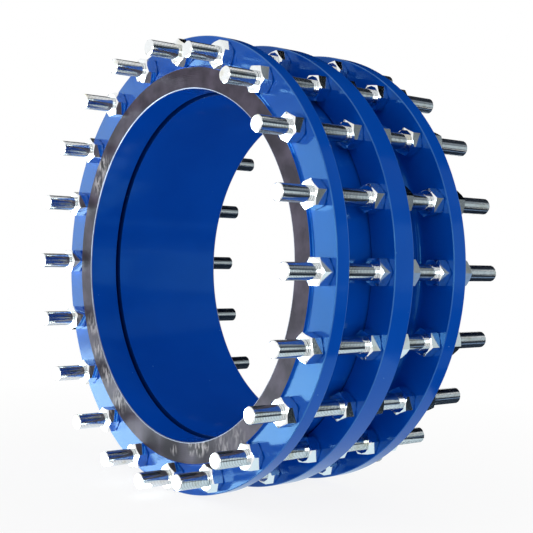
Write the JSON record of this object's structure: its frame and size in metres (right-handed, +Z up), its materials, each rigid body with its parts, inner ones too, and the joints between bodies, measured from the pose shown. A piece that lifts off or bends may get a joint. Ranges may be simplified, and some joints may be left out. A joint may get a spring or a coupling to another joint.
{
  "type": "restrained dismantling joint",
  "caption": "Flanged telescopic pipe joint for a large water main: flanged body and sliding spigot, gland ring and seal between them, full-length tie rods with nuts.",
  "frame": {"origin": "centre of the front sealing face, on the pipe axis", "axes": "+X along the pipe axis from the front flange to the rear flange, +Z up, a tie rod on the horizontal plane"},
  "size_m": [0.456, 0.78, 0.78],
  "materials": {
    "painted_iron": "gloss",
    "zinc_steel": "bright zinc",
    "seal_rubber": "matt"
  },
  "bodies": {
    "body_side": {"body": "painted_iron", "gasket": "seal_rubber", "tie_rod_01": "zinc_steel", "tie_rod_02": "zinc_steel", "tie_rod_03": "zinc_steel", "tie_rod_04": "zinc_steel", "tie_rod_05": "zinc_steel", "tie_rod_06": "zinc_steel", "tie_rod_07": "zinc_steel", "tie_rod_08": "zinc_steel", "tie_rod_09": "zinc_steel", "tie_rod_10": "zinc_steel", "tie_rod_11": "zinc_steel", "tie_rod_12": "zinc_steel", "tie_rod_13": "zinc_steel", "tie_rod_14": "zinc_steel", "tie_rod_15": "zinc_steel", "tie_rod_16": "zinc_steel", "tie_rod_17": "zinc_steel", "tie_rod_18": "zinc_steel", "tie_rod_19": "zinc_steel", "tie_rod_20": "zinc_steel"},
    "gland_side": {"gland_ring": "painted_iron", "gland_front_nuts": "zinc_steel", "gland_back_nuts": "zinc_steel"},
    "spigot_side": {"spigot": "painted_iron", "spigot_inner_nuts": "zinc_steel"},
    "front_nut_row": {"front_nuts": "zinc_steel"},
    "rear_nut_row": {"rear_nuts": "zinc_steel"}
  },
  "joints": [
    {"name": "spigot_slide", "type": "slide", "parent": "body_side", "child": "spigot_side", "axis": [1, 0, 0], "range_m": [-0.005, 0.03]},
    {"name": "gland_slide", "type": "slide", "parent": "body_side", "child": "gland_side", "axis": [1, 0, 0], "range_m": [0, 0.03]},
    {"name": "front_nuts_run", "type": "slide", "parent": "body_side", "child": "front_nut_row", "axis": [-1, 0, 0], "range_m": [0, 0.05]},
    {"name": "rear_nuts_run", "type": "slide", "parent": "spigot_side", "child": "rear_nut_row", "axis": [1, 0, 0], "range_m": [0, 0.04]}
  ]
}
